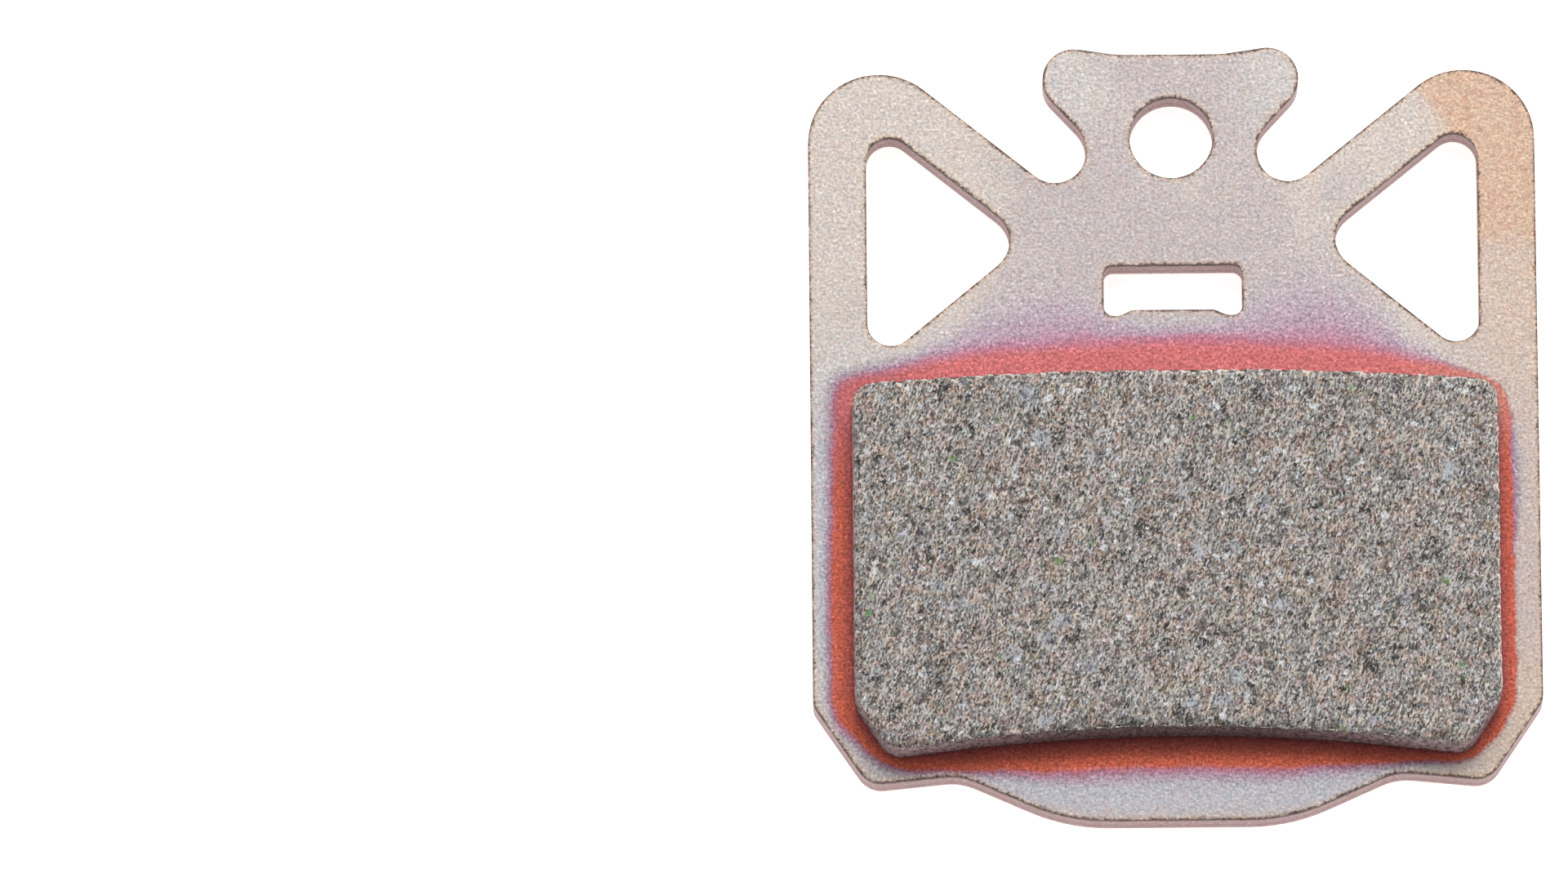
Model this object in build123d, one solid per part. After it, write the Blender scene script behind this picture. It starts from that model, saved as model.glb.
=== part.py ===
from build123d import *
import os
from math import cos, radians, sin, sqrt, tan

# Disc brake pad for a bicycle: a blanked steel backing plate with a block of friction compound on it.
# The pad lies on its back. The origin is on the axis of the retaining-pin hole, at the face of the plate that
# carries the compound. +Y runs up through the tab, +Z points at the disc, and sizes are millimetres and degrees.

# Backing plate
PLATE_THICKNESS = 2.0
PLATE_WIDTH = 37.35
ROLL_WIDTH = 0.6             # slope that blanking leaves along the back face's edges
ROLL_DEPTH = 0.25
HOLE_BEVEL = 0.15            # on the back rims of the round holes

# Retaining pin and the tab round it
PIN_DIAMETER = 4.0
PIN_CLEARANCE = 0.15         # all round the pin
TAB_HEIGHT = 4.43            # pin axis up to the flat between the lobes
TAB_FLAT = 5.33
LOBE_RISE_ANGLE = 8.5        # slope from the flat up on to a lobe
LOBE_RISE_RADIUS = 6.0
LOBE_RADIUS = 1.62
NECK_WIDTH = 8.8
NECK_RADIUS = 1.8
FLANK_ANGLE = 47.4           # underside of a lobe, from the horizontal
FLANK_FOOT = 0.13            # height at which that underside runs into the neck

# Shoulders beside the tab
SHOULDER_ANGLE = 39.2
SHOULDER_TOP = 3.48          # highest point of the rounded shoulder
SHOULDER_RADIUS = 3.65
NOTCH_RADIUS = 1.59          # root between the neck and a shoulder

# Windows
RIB_WIDTH = 2.97             # web between a window and the side
ARM_WIDTH = 2.84             # web between a window and the shoulder
WINDOW_TIP = 7.36            # sharp inner tip, from the middle
WINDOW_FOOT_ANGLE = 39.7
WINDOW_RADIUS = 1.2
WINDOW_TIP_RADIUS = 1.75

# Slot under the tab
SLOT_WIDTH = 7.12
SLOT_DROP = 6.77             # pin axis down to the slot's top edge
SLOT_HEIGHT = 2.38
SLOT_RADIUS = 0.5
RELIEF_DEPTH = 0.30          # small steps at the ends of the slot's lower edge
RELIEF_WIDTH = 0.8
RELIEF_RUN = 0.65
RELIEF_RADIUS = 0.75

# Friction lining
LINING_THICKNESS = 2.2
LINING_WIDTH = 33.08
LINING_HEIGHT = 18.9         # along the middle
LINING_TOP_DROP = 12.85      # pin axis down to the middle of the lining's top edge
LINING_TOP_RADIUS = 208.0
LINING_TOP_CORNER = 1.2
LINING_CUT_WIDTH = 1.74      # lower corners that are cut off
LINING_CUT_HEIGHT = 2.7
LINING_SIDE_CORNER = 2.0
LINING_FOOT_CORNER = 1.3
LINING_BOTTOM_RADIUS = 100.0

# Holes in the plate, and the plugs of compound in them
RETENTION_DIAMETER = 5.2
RETENTION_SPREAD = 22.6
RETENTION_PITCH = 8.2
RETENTION_MARGIN = 5.05      # lining's top edge down to the upper holes
PLUG_RECESS = 0.9            # back face in to the end of a plug

# Plate's lower edge
BULGE_MARGIN = 4.35          # lining's lower edge down to the plate's, along the middle
BULGE_DEPTH = 2.45           # from the hollow at each end of the bulge
BULGE_SPREAD = 11.4
BULGE_RADIUS = 10.0
HOLLOW_SPREAD = 22.3
HOLLOW_RADIUS = 3.0
FOOT_SLOPE = 5.7
FOOT_RADIUS = 1.4
CHAMFER_WIDTH = 2.8
CHAMFER_HEIGHT = 4.18
SIDE_RADIUS = 1.0

FILLET_ROOM = 0.98           # share of an edge that the roundings at its two ends may use up

# Heights of the lining's long edges, along the middle
LINING_TOP = -LINING_TOP_DROP
LINING_BOTTOM = LINING_TOP - LINING_HEIGHT


def mirrored(corners):
    """Right-hand corners from top to bottom, then their mirror images back up the left."""
    return corners + [(-x, y, radius) for x, y, radius in reversed(corners)]


def rounded_face(corners):
    """Face inside (x, y, radius) corners, where a rounding gives way if its edges are too short."""
    points = [Vector(x, y) for x, y, _ in corners]
    count = len(points)
    edges = [points[(i + 1) % count] - points[i] for i in range(count)]
    reaches = []
    for i, (_, _, radius) in enumerate(corners):
        turn = edges[i - 1].get_angle(edges[i])
        reaches.append(radius * tan(radians(turn / 2)))
    shares = [FILLET_ROOM * edges[i].length / (reaches[i] + reaches[(i + 1) % count]) for i in range(count)]
    radii = [corners[i][2] * min(1, shares[i - 1], shares[i]) for i in range(count)]
    return make_face(FilletPolyline(*points, radius=radii, close=True))


def crossing(point_a, angle_a, point_b, angle_b):
    """Where two lines meet, each given by a point and its angle from the horizontal."""
    ax, ay = point_a
    bx, by = point_b
    along_a = (cos(radians(angle_a)), sin(radians(angle_a)))
    along_b = (cos(radians(angle_b)), sin(radians(angle_b)))
    cross = along_a[0] * along_b[1] - along_a[1] * along_b[0]
    run = ((bx - ax) * along_b[1] - (by - ay) * along_b[0]) / cross
    return ax + run * along_a[0], ay + run * along_a[1]


def shoulder_corner():
    """Sharp corner of the side and the shoulder's slope, round which the shoulder's arc is drawn."""
    slope = radians(SHOULDER_ANGLE)
    arc_centre = SHOULDER_TOP - SHOULDER_RADIUS
    return PLATE_WIDTH / 2, arc_centre + SHOULDER_RADIUS * (1 / cos(slope) + tan(slope))


def plate_outline():
    """Blank of the plate, from the tab's lobes down to the bulge in its lower edge."""
    side = PLATE_WIDTH / 2
    shoulder = shoulder_corner()
    rise_foot = (TAB_FLAT / 2, TAB_HEIGHT)
    flank_foot = (NECK_WIDTH / 2, FLANK_FOOT)
    lobe = crossing(rise_foot, LOBE_RISE_ANGLE, flank_foot, FLANK_ANGLE)
    notch = crossing(shoulder, SHOULDER_ANGLE, flank_foot, 90)
    lowest = LINING_BOTTOM - BULGE_MARGIN
    hollow = (HOLLOW_SPREAD / 2, lowest + BULGE_DEPTH)
    foot = crossing(hollow, -FOOT_SLOPE, (side - CHAMFER_WIDTH, 0), 90)
    return rounded_face(mirrored([
        (*rise_foot, LOBE_RISE_RADIUS),
        (*lobe, LOBE_RADIUS),
        (*flank_foot, NECK_RADIUS),
        (*notch, NOTCH_RADIUS),
        (*shoulder, SHOULDER_RADIUS),
        (side, foot[1] + CHAMFER_HEIGHT, SIDE_RADIUS),
        (*foot, FOOT_RADIUS),
        (*hollow, HOLLOW_RADIUS),
        (BULGE_SPREAD / 2, lowest, BULGE_RADIUS),
    ]))


def window():
    """Right-hand triangular window: one edge along the side, one along the shoulder."""
    edge = PLATE_WIDTH / 2 - RIB_WIDTH
    shoulder_x, shoulder_y = shoulder_corner()
    arm_edge = (shoulder_x, shoulder_y - ARM_WIDTH / cos(radians(SHOULDER_ANGLE)))
    tip = crossing(arm_edge, SHOULDER_ANGLE, (WINDOW_TIP, 0), 90)
    head = crossing(arm_edge, SHOULDER_ANGLE, (edge, 0), 90)
    foot = crossing(tip, -WINDOW_FOOT_ANGLE, (edge, 0), 90)
    return rounded_face([(*tip, WINDOW_TIP_RADIUS), (*foot, WINDOW_RADIUS), (*head, WINDOW_RADIUS)])


def slot():
    """Cross slot under the tab, stepped down at the ends of its lower edge."""
    end = SLOT_WIDTH / 2
    top = -SLOT_DROP
    tongue = top - SLOT_HEIGHT
    relief = tongue - RELIEF_DEPTH
    step = end - RELIEF_WIDTH
    return rounded_face(mirrored([
        (end, top, SLOT_RADIUS),
        (end, relief, SLOT_RADIUS),
        (step, relief, RELIEF_RADIUS),
        (step - RELIEF_RUN, tongue, RELIEF_RADIUS),
    ]))


def retention_points():
    """Middles of the holes that hold the lining."""
    middle = Pos(0, LINING_TOP - RETENTION_MARGIN - RETENTION_PITCH / 2)
    return [middle * place for place in GridLocations(RETENTION_SPREAD, RETENTION_PITCH, 2, 2)]


def backing_plate():
    """Blanked plate: the die rolls the edges of its back, and leaves those of its front sharp."""
    right_window = window()
    face = plate_outline() - slot() - right_window - mirror(right_window, about=Plane.YZ)
    face -= Circle(PIN_DIAMETER / 2 + PIN_CLEARANCE)
    for place in retention_points():
        face -= place * Circle(RETENTION_DIAMETER / 2)
    plate = extrude(face, -PLATE_THICKNESS)
    back = plate.faces().sort_by(Axis.Z)[0]
    rolled = back.edges().filter_by(lambda edge: not edge.is_closed)
    plate = chamfer(rolled, ROLL_WIDTH, ROLL_DEPTH, reference=back)
    back = plate.faces().sort_by(Axis.Z)[0]
    return chamfer(back.edges().filter_by(lambda edge: edge.is_closed), HOLE_BEVEL)


def lining_outline():
    """Lining's face: both long edges follow the disc's swept band, and the lower corners are cut."""
    side = LINING_WIDTH / 2
    foot = side - LINING_CUT_WIDTH
    top_end = LINING_TOP - LINING_TOP_RADIUS + sqrt(LINING_TOP_RADIUS**2 - side**2)
    bottom_end = LINING_BOTTOM - LINING_BOTTOM_RADIUS + sqrt(LINING_BOTTOM_RADIUS**2 - foot**2)
    cut = bottom_end + LINING_CUT_HEIGHT
    face = make_face([
        ThreePointArc((-side, top_end), (0, LINING_TOP), (side, top_end)),
        Polyline((side, top_end), (side, cut), (foot, bottom_end)),
        ThreePointArc((foot, bottom_end), (0, LINING_BOTTOM), (-foot, bottom_end)),
        Polyline((-foot, bottom_end), (-side, cut), (-side, top_end)),
    ])
    face = fillet(face.vertices().sort_by(Axis.Y)[-2:], LINING_TOP_CORNER)
    face = fillet(face.vertices().sort_by(Axis.Y)[2:4], LINING_SIDE_CORNER)
    return fillet(face.vertices().sort_by(Axis.Y)[:2], LINING_FOOT_CORNER)


def friction_lining():
    """Block of compound on the plate, with a plug down each retention hole."""
    lining = extrude(lining_outline(), LINING_THICKNESS)
    plug = extrude(Circle(RETENTION_DIAMETER / 2), PLUG_RECESS - PLATE_THICKNESS)
    for place in retention_points():
        lining += place * plug
    return lining


os.makedirs("parts", exist_ok=True)
export_step(backing_plate(), "parts/backing_plate.step")
export_step(friction_lining(), "parts/friction_lining.step")
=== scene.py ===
from math import cos, hypot, pi, radians, sin, sqrt

import bmesh
import bpy
from bpy.props import FloatProperty, FloatVectorProperty, PointerProperty
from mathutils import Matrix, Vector, noise


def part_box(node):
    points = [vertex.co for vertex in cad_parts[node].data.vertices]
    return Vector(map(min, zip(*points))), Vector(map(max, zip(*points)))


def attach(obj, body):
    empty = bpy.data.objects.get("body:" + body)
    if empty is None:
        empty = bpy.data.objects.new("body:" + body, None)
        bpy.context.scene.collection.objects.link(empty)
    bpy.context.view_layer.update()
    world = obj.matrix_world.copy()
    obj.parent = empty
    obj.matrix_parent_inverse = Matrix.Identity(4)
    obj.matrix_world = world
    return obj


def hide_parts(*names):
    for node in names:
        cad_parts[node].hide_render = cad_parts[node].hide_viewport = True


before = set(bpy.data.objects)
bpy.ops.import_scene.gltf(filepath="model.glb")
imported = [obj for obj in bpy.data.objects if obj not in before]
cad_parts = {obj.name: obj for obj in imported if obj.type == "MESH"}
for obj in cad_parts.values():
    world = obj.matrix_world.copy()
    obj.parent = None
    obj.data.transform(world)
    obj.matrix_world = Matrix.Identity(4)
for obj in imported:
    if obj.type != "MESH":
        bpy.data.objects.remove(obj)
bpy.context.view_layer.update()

bl_info = {
    "name": "Disc Brake Pad",
    "version": (1, 0, 0),
    "blender": (4, 5, 0),
    "location": "View3D > Sidebar > Brake Pad",
    "description": "Dresses a bicycle disc brake pad and sets up its studio",
    "category": "Object",
}

# Everything is in metres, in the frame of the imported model: +Y runs up through the tab, +Z to the disc.
# Patterns are worked out in millimetres, so their scales read as real sizes.
MM = 0.001
LINING_LOW, LINING_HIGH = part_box("friction_lining")
PLATE_LOW, PLATE_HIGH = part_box("backing_plate")

# Kinds of node. Inputs 0 to 4 of RANGE are the value, the range it comes from and the range it goes to.
MATH = "ShaderNodeMath"
VECTOR = "ShaderNodeVectorMath"
RANGE = "ShaderNodeMapRange"
RAMP = "ShaderNodeValToRGB"
NOISE = "ShaderNodeTexNoise"
CELLS = "ShaderNodeTexVoronoi"
AXES = "ShaderNodeSeparateXYZ"
CHANNELS = "ShaderNodeSeparateColor"
PLACE = "ShaderNodeTexCoord"
BUMP = "ShaderNodeBump"

# Mix node that mixes colours: its sockets and settings
MIX = "ShaderNodeMix"
FACTOR, FIRST, SECOND = 0, 6, 7
COLOURS = {"output": 2, "data_type": "RGBA"}

# Occlusion node that looks into the piece, so that it finds edges
EDGES = "ShaderNodeAmbientOcclusion"
INWARDS = {"output": "AO", "samples": 8, "inside": True, "only_local": True}

# Heat tint round the lining: places across the pad and its widths there, in millimetres.
# It is widest along the middle of each long edge, and beyond the main band it fades out.
TOP_BAND = [
    (-17, 1.0), (-15.5, 1.05), (-13, 1.5), (-10, 1.95), (0, 2.35),
    (9, 2.05), (13, 1.4), (15.5, 0.8), (17, 0.7),
]
BOTTOM_BAND = [
    (-17.4, 1.25), (-16.6, 0.85), (-15, 0.55), (-12, 1.0), (-9, 1.4), (-6, 1.75),
    (5, 1.72), (8.6, 1.25), (12, 0.68), (14.6, 0.45), (17, 0.9),
]
TOP_FADE = [
    (-17, 0.7), (-13, 1.0), (-8, 4.2), (-6, 4.7), (-4, 3.1), (-2, 1.1),
    (2, 1.1), (4, 3.2), (6, 5.3), (8, 6.0), (10, 4.5), (12, 1.9), (15, 0.7),
]
BOTTOM_FADE = [(-12, 0.6), (-5, 1.5), (5, 1.5), (12, 0.6)]

# Roughness of the lining's mesh, in millimetres unless it says otherwise
GRIT_PER_MM = 5.5
FACE_GRIT = 0.014
WALL_GRIT = 0.035
PLUG_GRIT = 0.04
CRUMB_SIZE = 0.42
GAP_SIZE = 0.6
PLUG_RADIUS = 2.6
PLUG_TOP = -0.05             # plugs are below this height
BLOCK_FOOT = 0.1             # the block's rough part is above this one


def linear(code):
    """sRGB hex code to linear red, green and blue."""
    channels = [int(code[i:i + 2], 16) / 255 for i in (1, 3, 5)]
    return [c / 12.92 if c <= 0.04045 else ((c + 0.055) / 1.055) ** 2.4 for c in channels]


def length(name, description, millimetres):
    """Length property with its default given in millimetres."""
    return FloatProperty(name=name, description=description, default=millimetres * MM, unit="LENGTH",
                         precision=5)


def tint(name, description, code):
    """Colour property with its default given as an sRGB hex code."""
    return FloatVectorProperty(name=name, description=description, default=linear(code), subtype="COLOR",
                               size=3, min=0, max=1)


class LiningSizes(bpy.types.PropertyGroup):
    """Outline of the friction lining, and how coarse its grit is."""
    top_radius: length("Top radius", "Radius of the top edge, which bulges", 208)
    bottom_radius: length("Bottom radius", "Radius of the bottom edge, which is hollow", 100)
    bottom_middle: length("Bottom middle", "Height of the bottom edge on the middle line", -31.75)
    cut_width: length("Cut width", "Width of the lower corners that are cut off", 1.74)
    cut_height: length("Cut height", "Height of the lower corners that are cut off", 2.7)
    cell: length("Cell", "Edge of the mesh cells that carry the grit", 0.12)
    chip_size: length("Chip size", "Spacing of the pits where grit has torn out", 0.5)
    chip_depth: length("Chip depth", "Depth of those pits", 0.07)
    crumble_width: length("Crumble width", "Width of the band along the edges that crumbles", 0.45)
    crumble_depth: length("Crumble depth", "Depth to which the edges crumble", 0.13)
    dome: length("Plug dome", "How far the middle of a plug's end stands above its edge", 0.28)


class LiningColours(bpy.types.PropertyGroup):
    """Colours of the sintered compound."""
    charcoal: tint("Charcoal", "Graphite grains", "#2E2C2C")
    grit: tint("Grit", "Most of the ground grit", "#99928D")
    flake: tint("Flake", "Bright metal flakes", "#E0E2E6")
    iron: tint("Iron", "Pale lumps of iron", "#B4BAC4")
    copper: tint("Copper", "Cast of the coppery patches", "#FFE9DA")
    slate: tint("Slate", "Cast of the slaty patches", "#E4EEF4")
    mauve: tint("Mauve", "Cast of the mauve patches", "#F8EAF2")
    olive: tint("Olive", "Cast of the olive patches", "#F3F4E6")
    scratch: tint("Scratch", "Fresh metal in the grinding lines", "#D2C6B8")
    # Painted highlight along the upper and right edges
    painted_glint: tint("Glint", "Broken grains along the upper and right edges", "#F6EDDF")
    green: tint("Green", "Rare green grains", "#4F8A3C")
    wall: tint("Wall", "Pressed side of the block", "#6E5C5D")
    plug: tint("Plug", "Coppered ends of the plugs", "#D2AC97")


class PlateColours(bpy.types.PropertyGroup):
    """Colours of the plating and of the heat tint round the lining."""
    silver: tint("Silver", "Plating in the middle of the plate", "#B5ACAB")
    champagne: tint("Champagne", "Paler plating on the shoulders and ribs", "#C2B9B2")
    nickel: tint("Nickel", "Palest plating, on the tab's lobes", "#BDB8B5")
    gold: tint("Gold", "Tinted patch on one shoulder", "#C8AD96")
    umber: tint("Umber", "Darker mottling of that patch", "#B58F7E")
    ember: tint("Ember", "Tint against the lining", "#B85C60")
    coral: tint("Coral", "Main band of heat tint", "#C16F70")
    rust: tint("Rust", "That band along the lower edge and the sides", "#CF6849")
    shaded_inner_rust: tint("Wine", "Inner edge of that band", "#A15552")
    # Painted shade: the rust band's inner edge, darkened where the lining's wall shades it
    rose: tint("Rose", "Outer edge of that band", "#B17889")
    lavender: tint("Lavender", "Fading tint beyond it", "#AD95A4")
    mauve: tint("Mauve", "Last of the tint above the lining", "#B0A5AD")
    haze: tint("Haze", "Last of the tint below it, and a film over the lower plate", "#B3B4BC")
    shear: tint("Shear", "Punched walls of the plate", "#A78B8A")
    burr: tint("Burr", "Dark line along the punched edge", "#3E2620")
    copper: tint("Copper", "Plating on the back", "#C49E8A")
    # Partly real, partly painted shade of the back's rolled edges
    worn_and_shaded: tint("Worn", "Darker plating along the back's edges", "#A2705B")


class StageSettings(bpy.types.PropertyGroup):
    """Camera, light and floor."""
    distance: FloatProperty(name="Distance", description="Camera to pad", default=1.4, unit="LENGTH")
    elevation: FloatProperty(name="Elevation", description="Camera above the horizon", default=radians(75.5),
                             subtype="ANGLE")
    twist: FloatProperty(name="Twist", description="Turn of the pad in the picture", default=radians(0.5),
                         subtype="ANGLE")
    view_width: length("View width", "Width of what the picture takes in", 80.4)
    across: length("Across", "Middle of the picture to the pad's middle, to the right", 20.04)
    above: length("Above", "Middle of the picture to the pad's middle, upwards", 0.43)
    sky: FloatProperty(name="Sky", description="Strength of the even light from all round", default=0.7,
                       min=0)
    key: FloatProperty(name="Key", description="Power of the softbox at the upper right", default=1.3,
                       unit="POWER")
    softbox_size: length("Softbox size", "Edge of the softbox", 400)
    softbox_place: FloatVectorProperty(name="Softbox place", description="Where the softbox stands",
                                       default=(0.06, 0.32, 0.42), size=3, unit="LENGTH")
    glow: FloatProperty(name="Glow", description="Light that the white table gives off itself",
                        default=0.7, min=0)
    floor_half: length("Floor half", "Half the edge of the table", 1500)
    floor_gap: length("Floor gap", "Air between the table and the pad's back", 0.02)


class PadSettings(bpy.types.PropertyGroup):
    """All that can be changed."""
    lining: PointerProperty(type=LiningSizes, name="Lining")
    compound: PointerProperty(type=LiningColours, name="Compound")
    plate: PointerProperty(type=PlateColours, name="Plate")
    stage: PointerProperty(type=StageSettings, name="Stage")


def add(tree, kind, inputs=None, output=0, stops=None, **settings):
    """Adds a node with its settings, sets or links its inputs, and gives back one of its outputs."""
    node = tree.nodes.new(kind)
    for name, value in settings.items():
        setattr(node, name, value)
    for key, value in (inputs or {}).items():
        socket = node.inputs[key]
        if isinstance(value, bpy.types.NodeSocket):
            tree.links.new(value, socket)
        elif socket.type == "RGBA":
            socket.default_value = (*value, 1)
        else:
            socket.default_value = value
    if stops:
        elements = node.color_ramp.elements
        while len(elements) < len(stops):
            elements.new(1)
        for element, (position, colour) in zip(elements, stops):
            element.position = position
            element.color = (*colour, 1)
    return node.outputs[output]


def new_material(name):
    """Empty material, its node tree and its shader."""
    material = bpy.data.materials.new(name)
    material.use_nodes = True
    tree = material.node_tree
    return material, tree, tree.nodes["Principled BSDF"]


def surface(tree):
    """Nodes for a point of the piece's surface, in millimetres, and for the way the surface faces there."""
    place = add(tree, PLACE, output="Object")
    point = add(tree, VECTOR, {0: place, "Scale": 1 / MM}, operation="SCALE")
    return point, place.node.outputs["Normal"]


def outline_points(sizes):
    """Middles of the two long edges' circles, and a cut corner's line, in millimetres."""
    half = LINING_HIGH.x / MM
    top = LINING_HIGH.y / MM
    top_radius = sizes.top_radius / MM
    bottom = sizes.bottom_middle / MM
    bottom_radius = sizes.bottom_radius / MM
    cut = Vector((sizes.cut_height, -sizes.cut_width, 0)).normalized()
    painted_foot_shadow = half - sizes.cut_width / MM
    bottom_end = bottom - bottom_radius + sqrt(bottom_radius ** 2 - painted_foot_shadow ** 2)
    return {
        "half": half,
        "top_centre": Vector((0, top - top_radius, 0)),
        "top_radius": top_radius,
        "bottom_centre": Vector((0, bottom - bottom_radius, 0)),
        "bottom_radius": bottom_radius,
        "cut_normal": cut,
        "cut_offset": cut.dot(Vector((painted_foot_shadow, bottom_end, 0))),
    }


def bottom_distance(outline, x, y):
    """How far a point lies below the lining's lower edge, in millimetres."""
    return outline["bottom_radius"] - (Vector((x, y, 0)) - outline["bottom_centre"]).length


def outline_distance(outline, x, y):
    """How far a point lies outside the lining's outline, in millimetres, and below nought inside it."""
    flat = Vector((x, y, 0))
    return max(
        abs(x) - outline["half"],
        (flat - outline["top_centre"]).length - outline["top_radius"],
        bottom_distance(outline, x, y),
        outline["cut_normal"].dot(Vector((abs(x), y, 0))) - outline["cut_offset"],
    )


def clamp(value):
    """Value held between nought and one."""
    return min(max(value, 0), 1)


def heat_distance(tree, flat, outline):
    """Nodes for a point's distance from the lining's outline, with the corners eased, in millimetres."""
    upper_ease, lower_ease, side_ease = 2.4, 2, 1.2
    axes = add(tree, AXES, {0: flat})
    aside = add(tree, MATH, {0: axes}, operation="ABSOLUTE")
    side = add(tree, MATH, {0: aside, 1: outline["half"]}, operation="SUBTRACT")
    from_top = add(tree, VECTOR, {0: flat, 1: outline["top_centre"]}, "Value", operation="DISTANCE")
    top = add(tree, MATH, {0: from_top, 1: outline["top_radius"]}, operation="SUBTRACT")
    from_bottom = add(tree, VECTOR, {0: flat, 1: outline["bottom_centre"]}, "Value", operation="DISTANCE")
    bottom = add(tree, MATH, {0: outline["bottom_radius"], 1: from_bottom}, operation="SUBTRACT")
    folded = add(tree, "ShaderNodeCombineXYZ", {0: aside, 1: axes.node.outputs["Y"]})
    along_cut = add(tree, VECTOR, {0: folded, 1: outline["cut_normal"]}, "Value", operation="DOT_PRODUCT")
    cut = add(tree, MATH, {0: along_cut, 1: outline["cut_offset"]}, operation="SUBTRACT")
    upper = add(tree, MATH, {0: side, 1: top, 2: upper_ease}, operation="SMOOTH_MAX")
    lower = add(tree, MATH, {0: bottom, 1: cut, 2: lower_ease}, operation="SMOOTH_MAX")
    return add(tree, MATH, {0: upper, 1: lower, 2: side_ease}, operation="SMOOTH_MAX")


def width_along(tree, across, upper_half, top_widths, bottom_widths):
    """Nodes for a band's width in millimetres, from its widths at places across the pad, above and below."""
    widest = 6
    reach = 20
    station = add(tree, RANGE, {0: across, 1: -reach, 2: reach})
    top, bottom = [
        add(tree, RAMP, {0: station}, stops=[
            ((x + reach) / (2 * reach), [width / widest] * 3) for x, width in widths])
        for widths in (top_widths, bottom_widths)
    ]
    width = add(tree, MIX, {FACTOR: upper_half, FIRST: bottom, SECOND: top}, **COLOURS)
    return add(tree, MATH, {0: width, 1: widest}, operation="MULTIPLY")


def tint_progress(tree, across, up, away):
    """Nodes for how far out in the tint a point lies: a half where its band ends, one where it has faded."""
    upper_half = add(tree, RANGE, {0: up, 1: -24, 2: -15})
    band = width_along(tree, across, upper_half, TOP_BAND, BOTTOM_BAND)
    fade = width_along(tree, across, upper_half, TOP_FADE, BOTTOM_FADE)
    inner = add(tree, MATH, {0: away, 1: band}, operation="DIVIDE", use_clamp=True)
    beyond = add(tree, MATH, {0: away, 1: band}, operation="SUBTRACT")
    outer = add(tree, MATH, {0: beyond, 1: fade}, operation="DIVIDE", use_clamp=True)
    both = add(tree, MATH, {0: inner, 1: outer}, operation="ADD")
    return add(tree, MATH, {0: both, 1: 2}, operation="DIVIDE")


def tint_colour(tree, colours, across, aside, up, heat):
    """Nodes for the tint's colour: coral along the top, rust along the bottom and the sides."""
    coral = add(tree, RAMP, {0: heat}, stops=[
        (0.0, colours.ember), (0.12, colours.coral), (0.36, colours.coral), (0.48, colours.rose),
        (0.58, colours.lavender), (0.78, colours.mauve), (1.0, colours.silver)])
    # The rust ramp starts in painted shade of the lining's wall
    rust = add(tree, RAMP, {0: heat}, stops=[
        (0.0, colours.shaded_inner_rust), (0.32, colours.rust), (0.42, colours.rust), (0.49, colours.rose),
        (0.6, colours.lavender), (0.8, colours.haze), (1.0, colours.silver)])
    low = add(tree, RANGE, {0: up, 1: -20, 2: -30})
    at_side = add(tree, RANGE, {0: aside, 1: 10, 2: 18})
    left = add(tree, RANGE, {0: across, 1: -8, 2: -14})
    upper_left = add(tree, RANGE, {0: up, 1: -19, 2: -14, 3: 0, 4: left})
    at_side = add(tree, MATH, {0: at_side, 1: upper_left}, operation="SUBTRACT", use_clamp=True)
    share = add(tree, MATH, {0: low, 1: at_side}, operation="MAXIMUM")
    share = add(tree, MATH, {0: share, 1: 0.8}, operation="MULTIPLY")
    return add(tree, MIX, {FACTOR: share, FIRST: coral, SECOND: rust}, **COLOURS)


def tint_painted_shade(tree, aside, up, away):
    """Nodes for what is left of the tint's brightness: a painted shadow of the lining just below it, and
    painted shade down both sides.
    """
    # Painted shadow that the lining casts on the plate below its middle, fading over 1.6 mm
    painted_shadow = add(tree, RANGE, {0: away, 1: 0, 2: 1.6, 3: 0.4, 4: 0})
    below = add(tree, RANGE, {0: aside, 1: 12, 2: 15.5, 3: 1, 4: 0})
    low = add(tree, RANGE, {0: up, 1: -20, 2: -30})
    for place in (below, low):
        painted_shadow = add(tree, MATH, {0: painted_shadow, 1: place}, operation="MULTIPLY")
    # Painted shade darkens the tint down both sides
    clear = add(tree, RANGE, {0: aside, 1: 12, 2: 16, 3: 1, 4: 0.84})
    return add(tree, MATH, {0: clear, 1: painted_shadow}, operation="SUBTRACT")


def tint_share(tree, across, up, heat):
    """Nodes for how much of the tint shows: at both ends of the right-hand side it ends short."""
    right = add(tree, RANGE, {0: across, 1: 11, 2: 16})
    lower = add(tree, RANGE, {0: up, 1: -19, 2: -23})
    higher = add(tree, RANGE, {0: up, 1: -17, 2: -14})
    short = add(tree, MATH, {0: lower, 1: higher}, operation="MAXIMUM")
    short = add(tree, MATH, {0: short, 1: right}, operation="MULTIPLY")
    weak = add(tree, MATH, {0: higher, 1: right}, operation="MULTIPLY")
    start = add(tree, RANGE, {0: short, 3: 0.62, 4: 0.40})
    end = add(tree, RANGE, {0: short, 3: 1.0, 4: 0.52})
    most = add(tree, RANGE, {0: weak, 3: 1, 4: 0.75})
    return add(tree, RANGE, {0: heat, 1: start, 2: end, 3: most, 4: 0})


def heat_tint(tree, colours, outline, flat, ragged):
    """Nodes for the colour of the tint round the lining, and for how much of it shows."""
    across = add(tree, AXES, {0: flat})
    up = across.node.outputs["Y"]
    aside = add(tree, MATH, {0: across}, operation="ABSOLUTE")
    away = heat_distance(tree, flat, outline)
    away = add(tree, MATH, {0: away, 1: ragged}, operation="ADD")
    heat = tint_progress(tree, across, up, away)
    colour = tint_colour(tree, colours, across, aside, up, heat)
    # Painted shadow and painted shade darken the tint
    clear = tint_painted_shade(tree, aside, up, away)
    colour = add(tree, VECTOR, {0: colour, "Scale": clear}, operation="SCALE")
    return colour, tint_share(tree, across, up, heat)


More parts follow.
